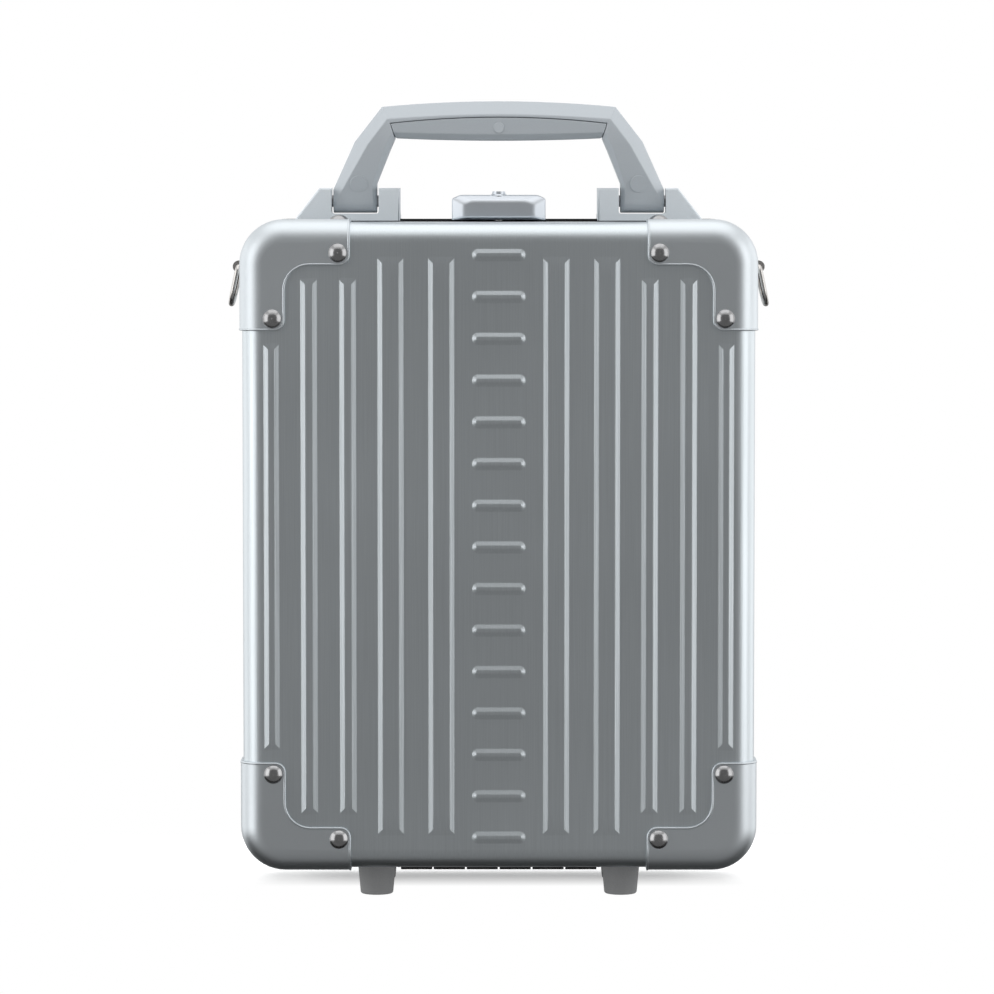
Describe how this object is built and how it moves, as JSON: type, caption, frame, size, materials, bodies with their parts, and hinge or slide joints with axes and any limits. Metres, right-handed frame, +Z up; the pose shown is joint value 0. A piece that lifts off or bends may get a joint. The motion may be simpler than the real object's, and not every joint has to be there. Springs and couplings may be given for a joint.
{
  "type": "business case",
  "caption": "Upright ribbed aluminium clamshell case on feet, with riveted corner caps, folding top handle, lever latch with lock plunger, bottom hinge and side strap rings.",
  "frame": {"origin": "on the floor under the middle of the case, between its feet", "axes": "+Z up, -Y towards the lid at the front, +X to the right seen from the front"},
  "size_m": [0.2836, 0.1194, 0.4116],
  "materials": {
    "shell_aluminium": "pressed sheet, brushed along its height",
    "cap_aluminium": "smooth satin pressing",
    "frame_aluminium": "plain extrusion",
    "rivet_chrome": "polished dome",
    "black_metal": "black satin coat",
    "seal_rubber": "matt",
    "foot_rubber": "moulded, matt grey",
    "handle_plastic": "fine moulded grain",
    "grip_plastic": "fine moulded grain",
    "bracket_plastic": "fine moulded grain",
    "latch_metal": "satin plated",
    "bright_steel": "plated wire",
    "plain_steel": "zinc plated",
    "lining_fabric": "woven lining over board",
    "organiser_fabric": "stitched nylon",
    "webbing": "ribbed webbing",
    "buckle_plastic": "moulded"
  },
  "bodies": {
    "rear_case": {"rear_shell": "shell_aluminium", "rear_frame": "black_metal", "rim_seal": "seal_rubber", "rear_cap_top_left": "cap_aluminium", "rear_cap_top_right": "cap_aluminium", "rear_cap_bottom_left": "cap_aluminium", "rear_cap_bottom_right": "cap_aluminium", "rear_cap_rivets": "rivet_chrome", "rear_foot_left": "foot_rubber", "rear_foot_right": "foot_rubber", "rear_foot_screws": "plain_steel", "rear_hinge_leaf": "black_metal", "rear_hinge_rivets": "plain_steel", "hinge_pin": "plain_steel", "handle_bracket_left": "bracket_plastic", "handle_bracket_right": "bracket_plastic", "bracket_screws": "plain_steel", "bracket_backing_plates": "plain_steel", "handle_pins": "plain_steel", "latch_base": "plain_steel", "latch_base_rivets": "plain_steel", "lever_pin": "plain_steel", "ring_bracket_left": "bright_steel", "ring_bracket_right": "bright_steel", "ring_rivets": "rivet_chrome", "rear_lining": "lining_fabric", "packing_strap_left": "webbing", "packing_strap_right": "webbing", "strap_buckle": "buckle_plastic"},
    "lid": {"front_shell": "shell_aluminium", "front_frame": "frame_aluminium", "front_cap_top_left": "cap_aluminium", "front_cap_top_right": "cap_aluminium", "front_cap_bottom_left": "cap_aluminium", "front_cap_bottom_right": "cap_aluminium", "front_cap_rivets": "rivet_chrome", "front_foot_left": "foot_rubber", "front_foot_right": "foot_rubber", "front_foot_screws": "plain_steel", "front_hinge_leaf": "black_metal", "front_hinge_rivets": "plain_steel", "keeper_plate": "plain_steel", "keeper_rivets": "plain_steel", "front_lining": "lining_fabric", "organiser_panel": "organiser_fabric", "document_pocket": "organiser_fabric", "card_pocket_left": "organiser_fabric", "card_pocket_right": "organiser_fabric", "pen_loops": "webbing"},
    "handle": {"handle_bow": "handle_plastic", "handle_grip": "grip_plastic", "handle_plugs": "handle_plastic"},
    "latch": {"latch_lever": "latch_metal"},
    "plunger": {"lock_plunger": "bright_steel"},
    "ring_left": {"strap_ring_left": "bright_steel"},
    "ring_right": {"strap_ring_right": "bright_steel"}
  },
  "joints": [
    {"name": "lid_hinge", "type": "hinge", "parent": "rear_case", "child": "lid", "pos_m": [0, 0, 0.012], "axis": [1, 0, 0], "range_deg": [0, 110]},
    {"name": "handle_fold", "type": "hinge", "parent": "rear_case", "child": "handle", "pos_m": [0, 0, 0.3597], "axis": [1, 0, 0], "range_deg": [-75, 75]},
    {"name": "latch_lift", "type": "hinge", "parent": "rear_case", "child": "latch", "pos_m": [0, 0.016, 0.355], "axis": [-1, 0, 0], "range_deg": [0, 45]},
    {"name": "plunger_press", "type": "slide", "parent": "latch", "child": "plunger", "axis": [0, 0, -1], "range_m": [0, 0.003]},
    {"name": "ring_left_swing", "type": "hinge", "parent": "rear_case", "child": "ring_left", "pos_m": [-0.13615, 0.0125, 0.3255], "axis": [0, 1, 0], "range_deg": [0, 140]},
    {"name": "ring_right_swing", "type": "hinge", "parent": "rear_case", "child": "ring_right", "pos_m": [0.13615, 0.0125, 0.3255], "axis": [0, -1, 0], "range_deg": [0, 140]}
  ]
}
